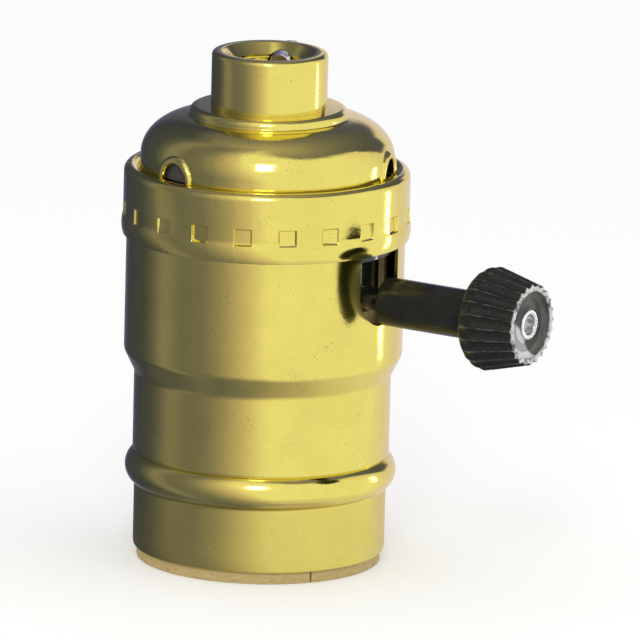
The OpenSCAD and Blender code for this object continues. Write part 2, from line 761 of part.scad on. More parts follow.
cap_shell();
cap_hub();
hub_set_screw();
cap_liner();
outer_shell();
insulating_sleeve();
switch_base();
switch_cover();
cover_screws();
screw_shell();
shell_screws();
centre_contact();
contact_rivet();
line_terminal();
line_screw();
neutral_terminal();
neutral_screw();
lamp_contact();
detent_spring();
spindle();
stem();
knob();
switch_rotor();
rotor_contact();
spindle_clip();
thrust_washer();
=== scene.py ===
# Looks of the turn knob lamp socket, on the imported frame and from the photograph's side.
# Pieces are worked out in millimetres and turned into metres when their mesh is made.
import json
import math

import bmesh
import bpy
import numpy as np
from mathutils import Matrix, Vector


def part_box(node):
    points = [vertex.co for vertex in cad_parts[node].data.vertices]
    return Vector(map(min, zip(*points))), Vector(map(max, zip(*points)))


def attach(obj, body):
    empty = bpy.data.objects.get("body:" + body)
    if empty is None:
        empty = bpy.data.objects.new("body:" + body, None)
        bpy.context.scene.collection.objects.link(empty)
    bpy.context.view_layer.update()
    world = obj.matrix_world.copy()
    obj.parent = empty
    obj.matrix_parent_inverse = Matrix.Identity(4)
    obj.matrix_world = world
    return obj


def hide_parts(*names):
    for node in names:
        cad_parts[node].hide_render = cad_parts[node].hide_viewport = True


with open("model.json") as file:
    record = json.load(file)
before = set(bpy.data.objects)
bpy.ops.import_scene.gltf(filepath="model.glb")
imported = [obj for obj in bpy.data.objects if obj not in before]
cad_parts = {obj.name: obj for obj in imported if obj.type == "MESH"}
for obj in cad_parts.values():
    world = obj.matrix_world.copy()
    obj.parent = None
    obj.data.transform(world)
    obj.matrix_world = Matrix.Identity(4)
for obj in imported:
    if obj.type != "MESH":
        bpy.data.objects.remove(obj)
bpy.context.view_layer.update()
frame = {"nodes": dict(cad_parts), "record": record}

MM = 0.001


def span(node):
    """Lowest and highest corner of a CAD node, in millimetres."""
    low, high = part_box(node)
    return low / MM, high / MM


# Places that come from the frame
CAP_LOW, CAP_HIGH = span("cap_shell")
HUB_LOW, HUB_HIGH = span("cap_hub")
SHELL_LOW, SHELL_HIGH = span("outer_shell")
SLEEVE_LOW, SLEEVE_HIGH = span("insulating_sleeve")
SCREW_LOW, SCREW_HIGH = span("screw_shell")
STEM_LOW, STEM_HIGH = span("stem")
KNOB_LOW, KNOB_HIGH = span("knob")
SPINDLE_LOW, SPINDLE_HIGH = span("spindle")
PIPE_R = next(m["dims"]["r_mm"] for m in frame["record"]["mounts"] if m["name"] == "lamp_pipe")
THREAD_R = next(m["dims"]["r_mm"] for m in frame["record"]["mounts"] if m["name"] == "lamp_thread")
AXIS_Z = (STEM_LOW.z + STEM_HIGH.z) / 2

# Cap
SHEET = 0.4
HEM_OUT = 0.2
HEM_H = 2.6
CAP_R = CAP_HIGH.x - HEM_OUT
SKIRT_H = 8.1
SHOULDER_R = 1.0
BEAD_MID_Z = CAP_LOW.z + SKIRT_H
DOME_R = CAP_R - 2 * SHOULDER_R - 0.1
DOME_ROUND = 6.7
DOME_RISE = 5.3
HUB_FOOT_Z = CAP_HIGH.z
COLLAR_R = 10.3
COLLAR_H = 1.25
COLLAR_ROUND = 0.9
CROWN_Z = HUB_FOOT_Z - COLLAR_H
STAKE_R = 5.6
DIMPLES = 20
DIMPLE_W = 2.2
DIMPLE_H = 2.0
DIMPLE_DEPTH = 0.3
DIMPLE_Z = CAP_LOW.z + 3.4
DIMPLE_TURN = 5.4
WINDOWS = 3
WINDOW_W = 4.0
WINDOW_H = 2.4
WINDOW_RIM = 1.0
RIM_OUT = 0.4
WINDOW_TURN = 15.9
WINDOW_Z = BEAD_MID_Z + 0.8

# Hub
HUB_R = 7.55
HUB_EDGE = 0.6
MOUTH_BEVEL = 1.4
MOUTH_R = PIPE_R + MOUTH_BEVEL
PIPE_PITCH = 0.94
PIPE_THREAD = 0.5
FLANGE_R = 7.2
SET_SCREW_R = 1.75
SET_SCREW_TURN = 105
SET_SCREW_DROP = 2.6

# Shell and sleeve
SHELL_SHEET = 0.45
SHELL_R = SHELL_HIGH.x
WAIST_R = SHELL_R - 1.4
FOOT_R = WAIST_R - 0.3
TAPER_Z = 24.8
TAPER_H = 2.8
BEAD_Z = 12.1
BEAD_H = 4.3
BEAD_OUT = 1.25
NECK_R = SHELL_R - 0.35
SLOT_W = 8.9
SLOT_DROP = 3.35
SLEEVE_WALL = 0.8
NOTCH_W = 10.4
NOTCH_CORNER = 1.5
SEAM_W = 0.25
SEAM_TURN = -31.6

# Lamp thread
THREAD_DEPTH = 0.75
THREAD_PITCH = 3.63
SCREW_SHEET = 0.4
SCREW_HOLE_R = 7.4

# Spindle, stem and knob
SPINDLE_R = 1.55
FLARE_R = 1.95
FLARE_T = 0.3
FLARE_BACK = 0.4
END_HOLE_R = 1.3
END_HOLE_DEEP = 1.2
STEM_R = (STEM_HIGH.z - STEM_LOW.z) / 2
KNOB_BACK_R = (KNOB_HIGH.z - KNOB_LOW.z) / 2
KNOB_FACE_R = 5.3
BACK_DROP = 1.9
BACK_RUN = 2.1
FLUTES = 24
FLUTE_DEPTH = 0.45
DISH_R = 4.45
DISH_DEPTH = 1.0

# The photograph's camera: its direction from the socket, its distance and its framing
CAMERA_TURN = math.radians(32.4)
CAMERA_RISE = math.radians(12.9)
CAMERA_ROLL = math.radians(1.45)
CAMERA_AWAY = 1.8
LENS = 779.3
PIXELS_PER_MM = 7.697
AIM_Z = 33
AIM_RIGHT_PX = 56
AIM_DOWN_PX = 11.5


# Lines and grids

def arc(r, z, round_r, start, end, rise=None, steps=12):
    """Points of an arc, or of an oval where rise is given, as radius and height."""
    turns = np.radians(np.linspace(start, end, steps + 1))
    return [(r + round_r * math.cos(t), z + (rise or round_r) * math.sin(t)) for t in turns]


def swell(r, z, height, out, steps=16):
    """Arched swelling on a wall of radius r, from its lower to its upper end."""
    round_r = (height * height / 4 + out * out) / (2 * out)
    half = math.degrees(math.asin(height / 2 / round_r))
    return arc(r + out - round_r, z, round_r, -half, half, steps=steps)


def softened(points, radius, steps=5, least_turn=18):
    """The same open line with its sharp inner corners rounded off."""
    line = [tuple(points[0])]
    for before, here, after in zip(points, points[1:], points[2:]):
        corner = np.array(here, float)
        into, out = np.array(before) - corner, np.array(after) - corner
        long_in, long_out = np.linalg.norm(into), np.linalg.norm(out)
        turn = 180 - math.degrees(math.acos(np.clip(into @ out / (long_in * long_out), -1, 1)))
        if turn < least_turn:
            line.append(tuple(corner))
            continue
        start = corner + into / long_in * min(radius, long_in * 0.49)
        end = corner + out / long_out * min(radius, long_out * 0.49)
        for t in np.linspace(0, 1, steps + 1):
            line.append(tuple((1 - t) ** 2 * start + 2 * t * (1 - t) * corner + t * t * end))
    line.append(tuple(points[-1]))
    return line


def divided(points, step):
    """The same line with extra points, so that no stretch is longer than step."""
    line = [tuple(points[0])]
    for here, there in zip(points, points[1:]):
        count = max(1, math.ceil(math.dist(here, there) / step))
        for i in range(1, count + 1):
            line.append(tuple(np.array(here) + (np.array(there) - np.array(here)) * i / count))
    return line


def smooth_step(value, start, end):
    t = np.clip((value - start) / (end - start), 0, 1)
    return t * t * (3 - 2 * t)


def turns_of(count):
    return np.linspace(0, 2 * math.pi, count, endpoint=False)


def lathe(name, section, angles, reshape=None, axis_z=None, ring=True, sharp=30):
    """Mesh turned from a section of (radius, height), about Z, or about X at height axis_z."""
    section = np.array(section, float)
    turn = np.asarray(angles)[:, None]
    r = np.repeat(section[None, :, 0], len(turn), axis=0)
    z = np.repeat(section[None, :, 1], len(turn), axis=0)
    if reshape:
        r, z = reshape(turn, r, z)
    if axis_z is None:
        grid = np.stack([r * np.cos(turn), r * np.sin(turn), z], axis=-1)
    else:
        grid = np.stack([z, r * np.cos(turn), r * np.sin(turn) + axis_z], axis=-1)
    index = np.arange(r.size).reshape(r.shape)
    ahead = np.roll(index, -1, axis=0)
    corners = [index, np.roll(index, -1, axis=1), np.roll(ahead, -1, axis=1), ahead]
    faces = np.stack(corners, axis=-1)
    if not ring:
        faces = faces[:, :-1]
    mesh = bpy.data.meshes.new(name)
    mesh.from_pydata((grid.reshape(-1, 3) * MM).tolist(), [], faces.reshape(-1, 4).tolist())
    tidy_mesh(mesh, sharp)
    return mesh


def tidy_mesh(mesh, sharp):
    """Joins doubled points, turns the faces outwards and shades smooth between sharp edges."""
    work = bmesh.new()
    work.from_mesh(mesh)
    bmesh.ops.remove_doubles(work, verts=work.verts, dist=1e-7)
    bmesh.ops.dissolve_degenerate(work, dist=1e-8, edges=work.edges)
    if work.calc_volume(signed=True) < 0:
        bmesh.ops.reverse_faces(work, faces=work.faces)
    work.to_mesh(mesh)
    work.free()
    mesh.shade_smooth()
    mesh.set_sharp_from_angle(angle=math.radians(sharp))


def prism(name, outline, place, start, end):
    """Cutter with an outline in the X and Y of a place, from start to end along its Z."""
    count = len(outline)
    points = [place @ (Vector((u, v, w)) * MM) for w in (start, end) for u, v in outline]
    sides = [(i, (i + 1) % count, count + (i + 1) % count, count + i) for i in range(count)]
    mesh = bpy.data.meshes.new(name)
    mesh.from_pydata(points, [], sides + [tuple(range(count))[::-1], tuple(range(count, 2 * count))])
    tidy_mesh(mesh, 30)
    return mesh


def outward(turn_degrees, z):
    """Place whose Z points out from the socket's axis, with its Y upwards."""
    turn = math.radians(turn_degrees)
    out = Vector((math.cos(turn), math.sin(turn), 0))
    side = Vector((-math.sin(turn), math.cos(turn), 0))
    rows = Matrix((side, Vector((0, 0, 1)), out)).transposed().to_4x4()
    rows.translation = Vector((0, 0, z * MM))
    return rows


def combine(mesh, other, operation="DIFFERENCE", sharp=30):
    """The first mesh with the other one cut away, or joined on."""
    made = []
    for name, data in (("work", mesh), ("tool", other)):
        obj = bpy.data.objects.new(name, data)
        bpy.context.scene.collection.objects.link(obj)
        made.append(obj)
    change = made[0].modifiers.new("combine", "BOOLEAN")
    change.operation = operation
    change.solver = "MANIFOLD"
    change.object = made[1]
    view = bpy.context.evaluated_depsgraph_get()
    result = bpy.data.meshes.new_from_object(made[0].evaluated_get(view))
    for obj in made:
        bpy.data.objects.remove(obj, do_unlink=True)
    result.shade_smooth()
    result.set_sharp_from_angle(angle=math.radians(sharp))
    return result


def piece(name, mesh, slot, body, *nodes):
    """Puts a mesh in the scene as a piece that rides on a body and stands for some nodes."""
    mesh.name = name
    obj = bpy.data.objects.new(name, mesh)
    bpy.context.scene.collection.objects.link(obj)
    mesh.materials.clear()
    mesh.materials.append(FINISHES[slot])
    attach(obj, body)
    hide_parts(*nodes)
    return obj


# Materials

def add(tree, kind, inputs=None, **settings):
    """Adds a node, with its settings and with values or links on its inputs."""
    node = tree.nodes.new(kind)
    for key, value in settings.items():
        setattr(node, key, value)
    for key, value in (inputs or {}).items():
        if isinstance(value, bpy.types.NodeSocket):
            tree.links.new(value, node.inputs[key])
        else:
            node.inputs[key].default_value = value
    return node


def new_finish(name):
    material = bpy.data.materials.new(name)
    material.use_nodes = True
    return material, material.node_tree, material.node_tree.nodes["Principled BSDF"]


def noise(tree, size_mm, stretch=(1, 1, 1), detail=3.0):
    """Noise whose features are about size_mm long, stretched along X, Y or Z."""
    coords = add(tree, "ShaderNodeTexCoord").outputs["Object"]
    scale = tuple(1 / s for s in stretch)
    place = add(tree, "ShaderNodeMapping", {"Vector": coords, "Scale": scale}).outputs["Vector"]
    return add(tree, "ShaderNodeTexNoise",
               {"Vector": place, "Scale": 1 / (size_mm * MM), "Detail": detail}).outputs["Fac"]


def spread(tree, value, low, high, start=0.3, end=0.7):
    """Maps a noise value from start to end onto low to high."""
    return add(tree, "ShaderNodeMapRange", {"Value": value, "From Min": start, "From Max": end,
                                            "To Min": low, "To Max": high}).outputs["Result"]


def ramp(tree, share, stops):
    """Greys or colours along a value from 0 to 1, where each stop is a place and its value."""
    node = add(tree, "ShaderNodeValToRGB", {"Fac": share})
    elements = node.color_ramp.elements
    while len(elements) < len(stops):
        elements.new(0.5)
    for element, (place, value) in zip(elements, stops):
        element.position = place
        element.color = (*(value if isinstance(value, tuple) else (value,) * 3), 1)
    return node.outputs["Color"]


def blend(tree, amount, first, second):
    """Colour between two others, each a colour or a link."""
    node = add(tree, "ShaderNodeMix", data_type="RGBA")
    for index, value in ((0, amount), (6, first), (7, second)):
        if isinstance(value, bpy.types.NodeSocket):
            tree.links.new(value, node.inputs[index])
        else:
            node.inputs[index].default_value = (*value, 1) if index else value
    return node.outputs[2]


def bumps(tree, layers, normal=None):
    """Normal from layers of (height value, height in mm), over another normal where one is given."""
    for value, height in layers:
        inputs = {"Height": value, "Distance": height * MM, "Strength": 1.0}
        if normal:
            inputs["Normal"] = normal
        normal = add(tree, "ShaderNodeBump", inputs).outputs["Normal"]
    return normal


def round_normal(tree, where):
    """Normal that is smooth round the socket's axis on walls that are turned about it."""
    flat = add(tree, "ShaderNodeVectorMath", {0: where, 1: (1, 1, 0)}, operation="MULTIPLY").outputs[0]
    round_out = add(tree, "ShaderNodeVectorMath", {0: flat}, operation="NORMALIZE").outputs[0]
    facet = add(tree, "ShaderNodeNewGeometry").outputs["Normal"]
    near = add(tree, "ShaderNodeVectorMath", {0: round_out, 1: facet}, operation="DOT_PRODUCT").outputs["Value"]
    mix = add(tree, "ShaderNodeMix", data_type="VECTOR")
    for index, value in ((0, spread(tree, near, 0, 1, 0.985, 0.99)), (4, facet), (5, round_out)):
        tree.links.new(value, mix.inputs[index])
    return mix.outputs[1]


def shade(colour, factor):
    return tuple(c * factor for c in colour)


def brass(name, colour, roughness, grain, grooves, mottle, tarnish, aniso=0.0, dull=None):
    """Lacquered brass, mottled and flecked under the lacquer, with fine lines round the axis."""
    material, tree, shader = new_finish(name)
    patches = spread(tree, noise(tree, 5.0, detail=4), 0, 1)
    specks = spread(tree, noise(tree, 0.26, detail=2), 0, 1, 0.62, 0.70)
    specks = add(tree, "ShaderNodeMath", {0: specks, 1: spread(tree, noise(tree, 3.0), 0, 1, 0.5, 0.66)},
                 operation="MULTIPLY").outputs[0]
    tone = blend(tree, patches, shade(colour, 1 - tarnish), shade(colour, 1.02))
    tone = blend(tree, specks, tone, shade(colour, 0.55))
    lines = noise(tree, 0.16, stretch=(80, 80, 1), detail=4)
    rough = spread(tree, noise(tree, 2.2, detail=5), roughness * 0.8, roughness * 1.25)
    if dull:
        where = add(tree, "ShaderNodeTexCoord").outputs["Object"]
        height = add(tree, "ShaderNodeSeparateXYZ", {0: where}).outputs["Z"]
        share = spread(tree, height, 0, 1, SHELL_LOW.z * MM, SHELL_HIGH.z * MM)
        tall = SHELL_HIGH.z - SHELL_LOW.z
        more = ramp(tree, share, [((z - SHELL_LOW.z) / tall, v) for z, v in dull])
        rough = add(tree, "ShaderNodeMath", {0: rough, 1: more}, operation="ADD").outputs[0]
        # Where the shell is dullest, below the bead, its colour is darkened: painted shade for the darker surroundings
        # that the foot reflects.
        darker = spread(tree, more, 0, 0.2, 0.1, 0.24)
        tone = blend(tree, darker, tone, shade(colour, 0.35))
    tree.links.new(tone, shader.inputs["Base Color"])
    tree.links.new(rough, shader.inputs["Roughness"])
    normal = bumps(tree, [(lines, grooves), (noise(tree, 0.3, detail=3), grain), (noise(tree, 0.8, detail=4), mottle)])
    tree.links.new(normal, shader.inputs["Normal"])
    shader.inputs["Metallic"].default_value = 1.0
    shader.inputs["Anisotropic"].default_value = aniso
    if aniso:
        tangent = add(tree, "ShaderNodeTangent", direction_type="RADIAL", axis="Z")
        tree.links.new(tangent.outputs[0], shader.inputs["Tangent"])
    return material


def metal(name, colour, roughness, grain=0.002, lines=0.003, along="Z"):
    """Plain plated or rolled metal, with faint drawn lines along one axis and dull patches."""
    material, tree, shader = new_finish(name)
    stretch = {"X": (30, 1, 1), "Y": (1, 30, 1), "Z": (1, 1, 30)}[along]
    patches = spread(tree, noise(tree, 1.6, detail=4), 0, 1)
    tone = blend(tree, patches, shade(colour, 0.82), colour)
    rough = spread(tree, noise(tree, 1.1, detail=4), roughness * 0.75, roughness * 1.35)
    tree.links.new(tone, shader.inputs["Base Color"])
    tree.links.new(rough, shader.inputs["Roughness"])
    normal = bumps(tree, [(noise(tree, 0.12, stretch), lines), (noise(tree, 0.25), grain)])
    tree.links.new(normal, shader.inputs["Normal"])
    shader.inputs["Metallic"].default_value = 1.0
    return material


def moulded(name, colour, roughness, worn=0.0, dust=0.0, gloss=0.5, face_x=None, turned=False):
    """Moulded phenolic with dust specks, rubbed edges and, for the knob, a face whose dish is painted with a grey
    reflection and a white highlight crescent, and whose rim is light in broken patches, partly rubbed wear and partly
    painted highlight.
    """
    material, tree, shader = new_finish(name)
    patches = spread(tree, noise(tree, 3.0, detail=4), 0, 1)
    tone = blend(tree, patches, shade(colour, 0.75), shade(colour, 1.25))
    if dust:
        specks = spread(tree, noise(tree, 0.16, detail=1), 0, dust, 0.68, 0.76)
        tone = blend(tree, specks, tone, (0.5, 0.5, 0.46))
    if worn:
        edge = add(tree, "ShaderNodeNewGeometry").outputs["Pointiness"]
        rubbed = spread(tree, edge, 0, worn, 0.53, 0.60)
        here = spread(tree, noise(tree, 1.3, detail=3), 0.12, 1, 0.45, 0.58)
        rubbed = add(tree, "ShaderNodeMath", {0: rubbed, 1: here}, operation="MULTIPLY").outputs[0]
        tone = blend(tree, rubbed, tone, (0.55, 0.55, 0.52))
    if face_x:
        where = add(tree, "ShaderNodeTexCoord").outputs["Object"]
        along = add(tree, "ShaderNodeSeparateXYZ", {0: where}).outputs["X"]
        dish = spread(tree, along, 0, 0.8, (face_x - DISH_DEPTH - 0.02) * MM, (face_x - DISH_DEPTH + 0.02) * MM)
        from_axis = add(tree, "ShaderNodeVectorMath", {0: where, 1: (face_x * MM, 0, AXIS_Z * MM)},
                        operation="DISTANCE").outputs["Value"]
        inner = spread(tree, from_axis, 1, 0, (DISH_R - 0.15) * MM, DISH_R * MM)
        dish = add(tree, "ShaderNodeMath", {0: dish, 1: inner}, operation="MULTIPLY").outputs[0]
        # The dish's lighter grey is a painted reflection of the bright surroundings in its glossy floor.
        dish_reflection = blend(tree, patches, (0.075, 0.078, 0.07), (0.17, 0.17, 0.155))
        # A white crescent on one side of the dish is a painted highlight: a bright reflection put into the colour.
        aside = add(tree, "ShaderNodeVectorMath", {0: where, 1: (0, 0, AXIS_Z * MM)}, operation="SUBTRACT").outputs[0]
        aside = add(tree, "ShaderNodeVectorMath", {0: aside, 1: (0, -0.78, -0.62)},
                    operation="DOT_PRODUCT").outputs["Value"]
        dish_reflection = blend(tree, spread(tree, aside, 0, 1, 1.6 * MM, 1.9 * MM), dish_reflection, (0.95, 0.92, 0.94))
        tone = blend(tree, dish, tone, dish_reflection)
        # The rim's light broken ring is partly rubbed wear and partly a painted highlight.
        rim = spread(tree, along, 0, 1, (face_x - 0.28) * MM, (face_x - 0.1) * MM)
        broken = spread(tree, noise(tree, 0.7, detail=3), 0.15, 0.95, 0.38, 0.52)
        rim = add(tree, "ShaderNodeMath", {0: rim, 1: broken}, operation="MULTIPLY").outputs[0]
        tone = blend(tree, rim, tone, (0.72, 0.72, 0.69))
    rough = spread(tree, noise(tree, 0.8, detail=5), roughness * 0.75, roughness * 1.4)
    tree.links.new(tone, shader.inputs["Base Color"])
    tree.links.new(rough, shader.inputs["Roughness"])
    shader.inputs["Specular IOR Level"].default_value = gloss
    if turned:
        where = add(tree, "ShaderNodeTexCoord").outputs["Object"]
    smooth = round_normal(tree, where) if turned else None
    normal = bumps(tree, [(noise(tree, 1.5), 0.008), (noise(tree, 0.15), 0.0008)], smooth)
    tree.links.new(normal, shader.inputs["Normal"])
    return material


def card(name, colour, dark):
    """Pressed card with fibres that lie round the socket, and a few darker flecks."""
    material, tree, shader = new_finish(name)
    fibres = noise(tree, 0.12, stretch=(9, 9, 1), detail=5)
    flecks = spread(tree, noise(tree, 0.35, stretch=(3, 3, 1), detail=2), 0, 0.7, 0.62, 0.75)
    tone = blend(tree, spread(tree, fibres, 0, 1), shade(colour, 0.82), shade(colour, 1.12))
    tone = blend(tree, flecks, tone, dark)
    tree.links.new(tone, shader.inputs["Base Color"])
    shader.inputs["Roughness"].default_value = 0.72
    shader.inputs["Specular IOR Level"].default_value = 0.35
    normal = bumps(tree, [(fibres, 0.02), (noise(tree, 0.08, detail=4), 0.01)])
    tree.links.new(normal, shader.inputs["Normal"])
    return material


BRASS = (0.823, 0.708, 0.168)
FINISHES = {
    "polished_brass": brass("polished_brass", BRASS, 0.10, 0.0045, 0.0006, 0.014, 0.05),
    "turned_brass": brass("turned_brass", BRASS, 0.10, 0.0014, 0.0010, 0.003, 0.04),
    "satin_brass": brass("satin_brass", BRASS, 0.11, 0.0045, 0.0012, 0.005, 0.06, aniso=0.3,
                         dull=[(SHELL_LOW.z, 0.24), (BEAD_Z - 2.6, 0.20), (BEAD_Z - 1.6, 0.0), (BEAD_Z + 2, 0.0),
                               (BEAD_Z + 2.8, 0.10), (TAPER_Z, 0.08), (TAPER_Z + 3, 0.0)]),
    "plated_steel": metal("plated_steel", (0.72, 0.72, 0.70), 0.24),
    "liner_card": card("liner_card", (0.085, 0.082, 0.075), (0.03, 0.03, 0.03)),
    "sleeve_card": card("sleeve_card", (0.60, 0.46, 0.20), (0.28, 0.18, 0.07)),
    "black_phenolic": moulded("black_phenolic", (0.014, 0.015, 0.011), 0.09, dust=0.1, turned=True),
    "contact_brass": metal("contact_brass", (0.72, 0.55, 0.22), 0.30),
    "contact_bronze": metal("contact_bronze", (0.66, 0.42, 0.20), 0.28, along="X"),
    "brass_screw": metal("brass_screw", (0.78, 0.62, 0.24), 0.22, along="Y"),
    "spring_steel": metal("spring_steel", (0.34, 0.35, 0.38), 0.30, along="Y"),
    "spindle_steel": metal("spindle_steel", (0.74, 0.74, 0.73), 0.20, along="X"),
    "stem_black": moulded("stem_black", (0.018, 0.018, 0.010), 0.17, dust=0.05, gloss=0.3),
    "knob_black": moulded("knob_black", (0.016, 0.018, 0.011), 0.34, worn=0.5, dust=0.2, gloss=0.3,
                          face_x=KNOB_HIGH.x),
    "brown_phenolic": moulded("brown_phenolic", (0.16, 0.07, 0.035), 0.38, dust=0.2),
}


# Cap, hub and set screw

def cap_section():
    """Closed section of the cap: up the outside, over the collar and down the inside."""
    oval = (DOME_R - DOME_ROUND, CROWN_Z - DOME_RISE)
    lip = [(CAP_R - SHEET, CAP_LOW.z + 0.1), (CAP_R - SHEET + 0.1, CAP_LOW.z), (CAP_R - 0.1, CAP_LOW.z)]
    outside = lip + swell(CAP_R, CAP_LOW.z + HEM_H / 2, HEM_H, HEM_OUT)
    outside += arc(CAP_R - SHOULDER_R, BEAD_MID_Z, SHOULDER_R, 0, 150, steps=18)
    groove = [(DOME_R + 0.22, BEAD_MID_Z + 0.12), (DOME_R, BEAD_MID_Z + 0.6)]
    dome = [p for p in arc(*oval, DOME_ROUND, 0, 90, DOME_RISE, steps=40) if p[0] > COLLAR_R + 0.5]
    collar = [(COLLAR_R, CROWN_Z + 0.05)]
    collar += arc(COLLAR_R - COLLAR_ROUND, HUB_FOOT_Z - COLLAR_ROUND, COLLAR_ROUND, 0, 90, steps=14)
    outside = softened(outside + groove + dome + collar, 0.35) + [(STAKE_R, HUB_FOOT_Z)]
    under = arc(*oval, DOME_ROUND - SHEET, 90, 0, DOME_RISE - SHEET, steps=16)
    inside = [(STAKE_R, HUB_FOOT_Z - SHEET), (COLLAR_R - COLLAR_ROUND, HUB_FOOT_Z - SHEET)]
    inside += [(COLLAR_R - SHEET, HUB_FOOT_Z - COLLAR_ROUND), (COLLAR_R - SHEET, CROWN_Z - SHEET)]
    inside += [p for p in under if p[0] > COLLAR_R]
    inside += [(DOME_R - SHEET, BEAD_MID_Z + 0.5), (DOME_R - SHEET + 0.15, BEAD_MID_Z - 0.15)]
    inside += [(DOME_R + 0.1, BEAD_MID_Z - 0.32), (DOME_R + SHEET, BEAD_MID_Z - 0.1)]
    inside += arc(CAP_R - SHOULDER_R, BEAD_MID_Z, SHOULDER_R - SHEET, 150, 0, steps=8)
    return outside, inside


def cap_lines():
    """Turns at which the cap's grid has its points: close together at dimples and windows."""
    step = 360 / DIMPLES
    edges = [0.0, 0.94, 1.0, 1.05, 1.1, 1.15, 1.2, 1.26, 1.6, 2.4]
    marks = sorted({-e for e in edges} | set(edges))
    near = [math.degrees(m / CAP_R) for m in marks]
    turns = [DIMPLE_TURN + i * step + n for i in range(DIMPLES) for n in near]
    fine = 0.5
    reach = 22
    for k in range(WINDOWS):
        mid = WINDOW_TURN + k * 360 / WINDOWS
        turns += [mid + i * fine for i in range(-reach, reach + 1)]
    turns = sorted(t % 360 for t in turns)
    kept = [turns[0]]
    for turn in turns[1:]:
        if turn - kept[-1] > 0.11:
            kept.append(turn)
    return np.radians(kept)


def arch_distance(u, v):
    """Distance from a window's outline, where u is across and v is up from the sill."""
    spring = WINDOW_H - WINDOW_W / 2
    above = np.hypot(u, v - spring) - WINDOW_W / 2
    beside = np.abs(u) - WINDOW_W / 2
    return np.where(v > spring, above, beside)


def cap_reshape(turn, r, z):
    """Presses in the dimples and raises the rims of the windows."""
    degrees = np.degrees(turn)
    step = 360 / DIMPLES
    off = (degrees - DIMPLE_TURN + step / 2) % step - step / 2
    across = np.radians(off) * CAP_R
    number = np.round((degrees - DIMPLE_TURN) / step)
    lean, tip, deep = [np.sin(number * pace + 1) for pace in (2.3, 3.7, 5.1)]
    soft = 0.1
    width = 1 - smooth_step(np.abs(across), DIMPLE_W / 2 - soft, DIMPLE_W / 2 + soft)
    height = 1 - smooth_step(np.abs(z - DIMPLE_Z), DIMPLE_H / 2 - soft, DIMPLE_H / 2 + soft)
    skirt = r > CAP_R - SHEET - 0.05
    depth = DIMPLE_DEPTH + 0.04 * deep + 0.07 * lean * across + (0.05 + 0.05 * tip) * (z - DIMPLE_Z)
    r = r - depth * width * height * skirt
    step = 360 / WINDOWS
    off = (degrees - WINDOW_TURN + step / 2) % step - step / 2
    v = z - WINDOW_Z
    gap = arch_distance(np.radians(off) * DOME_R, v)
    ridge = np.sqrt(np.clip(1 - (2 * gap / WINDOW_RIM - 1) ** 2, 0, 1))
    near = (v > -0.35) & (r < DOME_R + 0.05) & (z < CROWN_Z - 1)
    return r + RIM_OUT * ridge * near * smooth_step(v, -0.3, 0.1), z


def window_outline():
    """Arched outline of a window, with square corners at its sill."""
    half = WINDOW_W / 2
    spring = WINDOW_H - half
    top = [(half * math.cos(t), spring + half * math.sin(t)) for t in np.linspace(0, math.pi, 25)]
    return [(-half, 0), (half, 0)] + top


def make_cap():
    outside, inside = cap_section()
    marks = [DIMPLE_Z + side * (DIMPLE_H / 2 + off) for side in (-1, 1) for off in (-0.1, -0.05, 0, 0.05, 0.1, 0.15, 0.25)]
    skirt = sorted(marks + [DIMPLE_Z - 0.5, DIMPLE_Z, DIMPLE_Z + 0.5])
    dressed = []
    for here, there in zip(outside, outside[1:]):
        dressed.append(here)
        on_skirt = abs(here[0] - there[0]) < 0.02 and here[0] > CAP_R - 0.05
        if on_skirt and here[1] < there[1]:
            dressed += [(CAP_R, z) for z in skirt if here[1] + 0.02 < z < there[1] - 0.02]
    dressed.append(outside[-1])
    wall = [p for p in dressed if DOME_R - 1.6 < p[0] < DOME_R + 0.3 and p[1] > BEAD_MID_Z + 0.5]
    low, high = dressed.index(wall[0]), dressed.index(wall[-1])
    dressed = dressed[:low] + divided(dressed[low:high + 1], 0.18) + dressed[high + 1:]
    down = [(CAP_R - SHEET, z) for z in reversed(skirt[::2])]
    mesh = lathe("cap", dressed + inside + down, cap_lines(), cap_reshape)
    for k in range(WINDOWS):
        place = outward(WINDOW_TURN + k * 360 / WINDOWS, WINDOW_Z)
        mesh = combine(mesh, prism("window", window_outline(), place, DOME_R - 3.5, DOME_R + 0.9))
    piece("spun_cap", mesh, "polished_brass", "root", "cap_shell")


def pipe_thread(turn, r, z):
    """Cuts a V thread into the hub's bore, running out under the bevel."""
    phase = (z / PIPE_PITCH - turn / (2 * math.pi)) % 1
    groove = 1 - np.abs(2 * phase - 1)
    bore = np.abs(r - PIPE_R) < 0.02
    top = HUB_HIGH.z - MOUTH_BEVEL
    ends = smooth_step(z, HUB_LOW.z + 0.1, HUB_LOW.z + 0.5) * (1 - smooth_step(z, top - 0.4, top - 0.05))
    return r + PIPE_THREAD * groove * bore * ends, z


